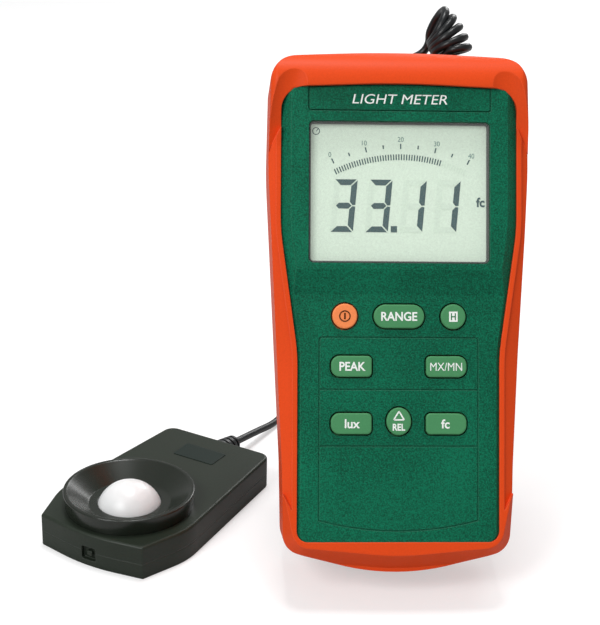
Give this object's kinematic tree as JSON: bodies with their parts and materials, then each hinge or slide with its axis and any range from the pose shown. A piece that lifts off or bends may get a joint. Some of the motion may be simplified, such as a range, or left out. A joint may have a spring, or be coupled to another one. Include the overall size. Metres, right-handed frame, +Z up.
{
  "type": "light meter",
  "caption": "Hand-held light meter in an orange rubber holster on a tilt stand, with display, keys and a separate domed light sensor on a curly lead.",
  "frame": {"origin": "centre of the table area under the meter and its sensor head, on the table", "axes": "+Z up, +X to the right as the user sees the display, +Y away from the user"},
  "size_m": [0.1496, 0.1396, 0.1631],
  "materials": {
    "holster_rubber": "satin moulded rubber",
    "stand_plastic": "fine texture",
    "case_green": "fine grained moulding",
    "name_plate_green": null,
    "window_clear": "clear polished",
    "frame_black": "satin",
    "display_pale": "liquid crystal display, pale grey green",
    "strip_rubber": "matte",
    "board_green": "solder mask",
    "chip_black": "moulded",
    "mat_rubber": "matte",
    "battery_can": "painted can",
    "steel": "plain",
    "key_green": "satin moulded rubber",
    "key_orange": "satin moulded rubber",
    "lead_black": "satin cable jacket",
    "sensor_black": "satin moulded plastic",
    "dome_white": "milky diffusing plastic",
    "filter_green": "polished",
    "label_grey": "plain printed foil, no text"
  },
  "bodies": {
    "meter": {"battery": "battery_can", "battery_door": "case_green", "battery_door_screw": "steel", "battery_snap": "frame_black", "buzzer": "chip_black", "case_screws": "steel", "circuit_board": "board_green", "contact_strips": "strip_rubber", "controller_chip": "chip_black", "converter_chip": "chip_black", "display_frame": "frame_black", "display_glass": "display_pale", "display_window": "window_clear", "front_case": "case_green", "holster": "holster_rubber", "keypad_mat": "mat_rubber", "lead_coil": "lead_black", "lead_plug": "lead_black", "lead_tail": "lead_black", "name_plate": "name_plate_green", "rear_case": "case_green", "sensor_socket": "frame_black"},
    "stand": {"tilt_stand": "stand_plastic", "stand_pins": "steel"},
    "sensor_head": {"sensor_top_shell": "sensor_black", "sensor_bottom_shell": "sensor_black", "light_cup": "sensor_black", "diffuser_dome": "dome_white", "photodiode": "steel", "filter_holder": "frame_black", "correction_filter": "filter_green", "sensor_board": "board_green", "sensor_label": "label_grey", "nose_catch": "sensor_black", "sensor_strain_relief": "lead_black", "sensor_screws": "steel"},
    "foot_candle_key": {"key_foot_candle": "key_green"},
    "hold_key": {"key_hold": "key_green"},
    "lux_key": {"key_lux": "key_green"},
    "max_min_key": {"key_max_min": "key_green"},
    "peak_key": {"key_peak": "key_green"},
    "power_key": {"key_power": "key_orange"},
    "range_key": {"key_range": "key_green"},
    "relative_key": {"key_relative": "key_green"}
  },
  "joints": [
    {"name": "foot_candle_key_press", "type": "slide", "parent": "meter", "child": "foot_candle_key", "axis": [0, 0.9135, -0.4067], "range_m": [0, 0.0008], "stiffness_N_per_m": 900},
    {"name": "hold_key_press", "type": "slide", "parent": "meter", "child": "hold_key", "axis": [0, 0.9135, -0.4067], "range_m": [0, 0.0008], "stiffness_N_per_m": 900},
    {"name": "lux_key_press", "type": "slide", "parent": "meter", "child": "lux_key", "axis": [0, 0.9135, -0.4067], "range_m": [0, 0.0008], "stiffness_N_per_m": 900},
    {"name": "max_min_key_press", "type": "slide", "parent": "meter", "child": "max_min_key", "axis": [0, 0.9135, -0.4067], "range_m": [0, 0.0008], "stiffness_N_per_m": 900},
    {"name": "peak_key_press", "type": "slide", "parent": "meter", "child": "peak_key", "axis": [0, 0.9135, -0.4067], "range_m": [0, 0.0008], "stiffness_N_per_m": 900},
    {"name": "power_key_press", "type": "slide", "parent": "meter", "child": "power_key", "axis": [0, 0.9135, -0.4067], "range_m": [0, 0.0008], "stiffness_N_per_m": 900},
    {"name": "range_key_press", "type": "slide", "parent": "meter", "child": "range_key", "axis": [0, 0.9135, -0.4067], "range_m": [0, 0.0008], "stiffness_N_per_m": 900},
    {"name": "relative_key_press", "type": "slide", "parent": "meter", "child": "relative_key", "axis": [0, 0.9135, -0.4067], "range_m": [0, 0.0008], "stiffness_N_per_m": 900},
    {"name": "stand_fold", "type": "hinge", "parent": "meter", "child": "stand", "pos_m": [0.0355, 0.01773, 0.07582], "axis": [-1, 0, 0], "range_deg": [0, 46]},
    {"name": "sensor_pull", "type": "slide", "parent": "meter", "child": "sensor_head", "axis": [-0.5373, -0.8434, 0], "range_m": [0, 0.03]}
  ]
}
